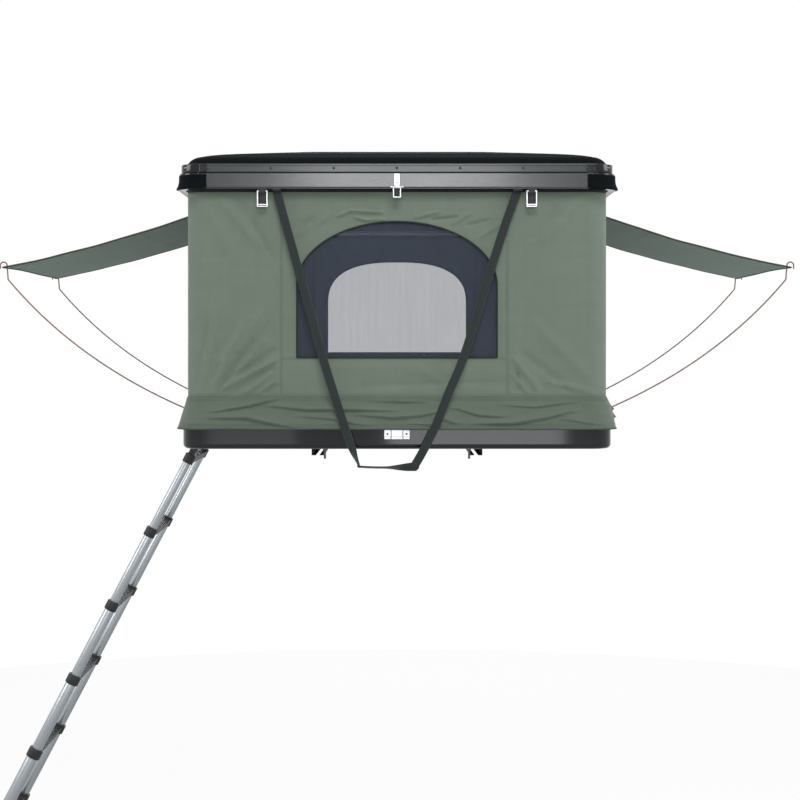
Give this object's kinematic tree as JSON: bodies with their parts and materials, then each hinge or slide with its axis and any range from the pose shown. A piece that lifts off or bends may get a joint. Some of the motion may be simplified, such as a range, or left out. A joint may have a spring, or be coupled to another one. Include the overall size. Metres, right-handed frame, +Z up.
{
  "type": "roof top tent",
  "caption": "Hard-shell roof top tent standing open: domed lid on gas struts, canvas walls with arched windows, side awnings, pull strap and telescopic ladder.",
  "frame": {"origin": "middle of the four crossbar bolts, on the underside of the mounting rails", "axes": "+Z up, -Y towards the front short side with the pull strap, +X to the right, the ladder is at -X"},
  "size_m": [3.2033, 2.1216, 2.9682],
  "materials": {
    "shell_black": "gloss",
    "trim_black": "gloss",
    "canvas_green": "matte",
    "netting": "matte",
    "webbing": "matte",
    "mattress_cover": "matte",
    "headliner_felt": "matte",
    "floor_ply": "satin",
    "steel": "satin",
    "alloy": "satin",
    "strut_black": "satin",
    "dark_plastic": "matte",
    "seal_rubber": "matte"
  },
  "bodies": {
    "base": {"lower_shell": "shell_black", "floor_panel": "floor_ply", "mattress": "mattress_cover", "rim_seal": "seal_rubber", "mounting_rails": "alloy", "mount_bolts": "steel", "latch_keepers": "steel", "rod_sockets": "dark_plastic", "strut_foot_brackets": "alloy", "ladder_bracket": "dark_plastic", "canvas_front": "canvas_green", "canvas_rear": "canvas_green", "canvas_left": "canvas_green", "canvas_right": "canvas_green", "skirt": "canvas_green", "window_netting": "netting", "door_roll": "netting"},
    "lid": {"upper_shell": "shell_black", "trim_rails": "trim_black", "trim_corners": "trim_black", "trim_rivets": "steel", "lid_frame": "alloy", "headliner": "headliner_felt", "strut_head_brackets": "alloy", "latch_brackets": "steel", "strap_anchors": "dark_plastic", "pull_strap": "webbing"},
    "latch_front_left": {"latch_ring_front_left": "steel"},
    "latch_front_right": {"latch_ring_front_right": "steel"},
    "latch_rear_left": {"latch_ring_rear_left": "steel"},
    "latch_rear_right": {"latch_ring_rear_right": "steel"},
    "hasp": {"hasp_ring": "steel"},
    "strut_cylinder_front_left": {"strut_cylinder_front_left": "strut_black"},
    "strut_rod_front_left": {"strut_rod_front_left": "steel"},
    "strut_cylinder_front_right": {"strut_cylinder_front_right": "strut_black"},
    "strut_rod_front_right": {"strut_rod_front_right": "steel"},
    "strut_cylinder_rear_left": {"strut_cylinder_rear_left": "strut_black"},
    "strut_rod_rear_left": {"strut_rod_rear_left": "steel"},
    "strut_cylinder_rear_right": {"strut_cylinder_rear_right": "strut_black"},
    "strut_rod_rear_right": {"strut_rod_rear_right": "steel"},
    "left_awning": {"awning_left": "canvas_green"},
    "left_rods": {"awning_rods_left": "steel"},
    "right_awning": {"awning_right": "canvas_green"},
    "right_rods": {"awning_rods_right": "steel"},
    "ladder_1": {"ladder_section_1": "alloy", "ladder_collars_1": "dark_plastic"},
    "ladder_2": {"ladder_section_2": "alloy", "ladder_collars_2": "dark_plastic"},
    "ladder_3": {"ladder_section_3": "alloy", "ladder_collars_3": "dark_plastic"},
    "ladder_4": {"ladder_section_4": "alloy", "ladder_collars_4": "dark_plastic"},
    "ladder_5": {"ladder_section_5": "alloy", "ladder_collars_5": "dark_plastic"},
    "ladder_6": {"ladder_section_6": "alloy", "ladder_collars_6": "dark_plastic"},
    "ladder_7": {"ladder_section_7": "alloy", "ladder_collars_7": "dark_plastic", "ladder_feet": "seal_rubber"}
  },
  "joints": [
    {"name": "lid_lift", "type": "slide", "parent": "base", "child": "lid", "axis": [0, 0, 1], "range_m": [-0.715, 0], "stiffness_N_per_m": 150, "springref_m": 3.6, "deforming": ["canvas_front", "canvas_rear", "canvas_left", "canvas_right", "skirt", "window_netting", "door_roll", "pull_strap", "awning_left", "awning_right", "awning_rods_left", "awning_rods_right"]},
    {"name": "latch_front_left_swing", "type": "hinge", "parent": "lid", "child": "latch_front_left", "pos_m": [-0.426, -1.043, 0.842], "axis": [-1, 0, 0], "range_deg": [0, 80]},
    {"name": "latch_front_right_swing", "type": "hinge", "parent": "lid", "child": "latch_front_right", "pos_m": [0.426, -1.043, 0.842], "axis": [-1, 0, 0], "range_deg": [0, 80]},
    {"name": "latch_rear_left_swing", "type": "hinge", "parent": "lid", "child": "latch_rear_left", "pos_m": [-0.426, 1.043, 0.842], "axis": [1, 0, 0], "range_deg": [0, 80]},
    {"name": "latch_rear_right_swing", "type": "hinge", "parent": "lid", "child": "latch_rear_right", "pos_m": [0.426, 1.043, 0.842], "axis": [1, 0, 0], "range_deg": [0, 80]},
    {"name": "hasp_swing", "type": "hinge", "parent": "lid", "child": "hasp", "pos_m": [0, -1.056, 0.853], "axis": [-1, 0, 0], "range_deg": [0, 110]},
    {"name": "strut_cylinder_front_left_pivot", "type": "hinge", "parent": "base", "child": "strut_cylinder_front_left", "pos_m": [-0.625, -0.38, 0.0755], "axis": [1, 0, 0], "range_deg": [0, 50.77]},
    {"name": "strut_rod_front_left_slide", "type": "slide", "parent": "strut_cylinder_front_left", "child": "strut_rod_front_left", "axis": [0, -0.5449, 0.8385], "range_m": [-0.4148, 0]},
    {"name": "strut_cylinder_front_right_pivot", "type": "hinge", "parent": "base", "child": "strut_cylinder_front_right", "pos_m": [0.625, -0.38, 0.0755], "axis": [1, 0, 0], "range_deg": [0, 50.77]},
    {"name": "strut_rod_front_right_slide", "type": "slide", "parent": "strut_cylinder_front_right", "child": "strut_rod_front_right", "axis": [0, -0.5449, 0.8385], "range_m": [-0.4148, 0]},
    {"name": "strut_cylinder_rear_left_pivot", "type": "hinge", "parent": "base", "child": "strut_cylinder_rear_left", "pos_m": [-0.625, 0.38, 0.0755], "axis": [1, 0, 0], "range_deg": [-50.77, 0]},
    {"name": "strut_rod_rear_left_slide", "type": "slide", "parent": "strut_cylinder_rear_left", "child": "strut_rod_rear_left", "axis": [0, 0.5449, 0.8385], "range_m": [-0.4148, 0]},
    {"name": "strut_cylinder_rear_right_pivot", "type": "hinge", "parent": "base", "child": "strut_cylinder_rear_right", "pos_m": [0.625, 0.38, 0.0755], "axis": [1, 0, 0], "range_deg": [-50.77, 0]},
    {"name": "strut_rod_rear_right_slide", "type": "slide", "parent": "strut_cylinder_rear_right", "child": "strut_rod_rear_right", "axis": [0, 0.5449, 0.8385], "range_m": [-0.4148, 0]},
    {"name": "left_awning_fold", "type": "hinge", "parent": "lid", "child": "left_awning", "pos_m": [-0.6713, 0, 0.835], "axis": [0, 1, 0], "range_deg": [-164.1, 0]},
    {"name": "left_rods_stow", "type": "hinge", "parent": "base", "child": "left_rods", "pos_m": [-0.349, 0, 1.4906], "axis": [0, 1, 0], "range_deg": [-37.6, 0]},
    {"name": "right_awning_fold", "type": "hinge", "parent": "lid", "child": "right_awning", "pos_m": [0.6713, 0, 0.835], "axis": [0, 1, 0], "range_deg": [0, 164.1]},
    {"name": "right_rods_stow", "type": "hinge", "parent": "base", "child": "right_rods", "pos_m": [0.349, 0, 1.4906], "axis": [0, 1, 0], "range_deg": [0, 37.6]},
    {"name": "ladder_tilt", "type": "hinge", "parent": "base", "child": "ladder_1", "pos_m": [-0.712, 0, 0.045], "axis": [0, 1, 0], "range_deg": [0, 60]},
    {"name": "ladder_slide_2", "type": "slide", "parent": "ladder_1", "child": "ladder_2", "axis": [0.4648, 0, 0.8854], "range_m": [0, 0.265]},
    {"name": "ladder_slide_3", "type": "slide", "parent": "ladder_2", "child": "ladder_3", "axis": [0.4648, 0, 0.8854], "range_m": [0, 0.265]},
    {"name": "ladder_slide_4", "type": "slide", "parent": "ladder_3", "child": "ladder_4", "axis": [0.4648, 0, 0.8854], "range_m": [0, 0.265]},
    {"name": "ladder_slide_5", "type": "slide", "parent": "ladder_4", "child": "ladder_5", "axis": [0.4648, 0, 0.8854], "range_m": [0, 0.265]},
    {"name": "ladder_slide_6", "type": "slide", "parent": "ladder_5", "child": "ladder_6", "axis": [0.4648, 0, 0.8854], "range_m": [0, 0.265]},
    {"name": "ladder_slide_7", "type": "slide", "parent": "ladder_6", "child": "ladder_7", "axis": [0.4648, 0, 0.8854], "range_m": [0, 0.265]}
  ],
  "couplings": [
    {"joint": "strut_cylinder_front_left_pivot", "follows": "lid_lift", "rad_per_m": -1.2392},
    {"joint": "strut_rod_front_left_slide", "follows": "lid_lift", "ratio": 0.58002},
    {"joint": "strut_cylinder_front_right_pivot", "follows": "lid_lift", "rad_per_m": -1.2392},
    {"joint": "strut_rod_front_right_slide", "follows": "lid_lift", "ratio": 0.58002},
    {"joint": "strut_cylinder_rear_left_pivot", "follows": "lid_lift", "rad_per_m": 1.2392},
    {"joint": "strut_rod_rear_left_slide", "follows": "lid_lift", "ratio": 0.58002},
    {"joint": "strut_cylinder_rear_right_pivot", "follows": "lid_lift", "rad_per_m": 1.2392},
    {"joint": "strut_rod_rear_right_slide", "follows": "lid_lift", "ratio": 0.58002},
    {"joint": "left_awning_fold", "follows": "lid_lift", "rad_per_m": 4.003},
    {"joint": "left_rods_stow", "follows": "lid_lift", "rad_per_m": 0.9154},
    {"joint": "right_awning_fold", "follows": "lid_lift", "rad_per_m": -4.003},
    {"joint": "right_rods_stow", "follows": "lid_lift", "rad_per_m": -0.9154},
    {"joint": "ladder_slide_3", "follows": "ladder_slide_2", "ratio": 1},
    {"joint": "ladder_slide_4", "follows": "ladder_slide_2", "ratio": 1},
    {"joint": "ladder_slide_5", "follows": "ladder_slide_2", "ratio": 1},
    {"joint": "ladder_slide_6", "follows": "ladder_slide_2", "ratio": 1},
    {"joint": "ladder_slide_7", "follows": "ladder_slide_2", "ratio": 1}
  ]
}
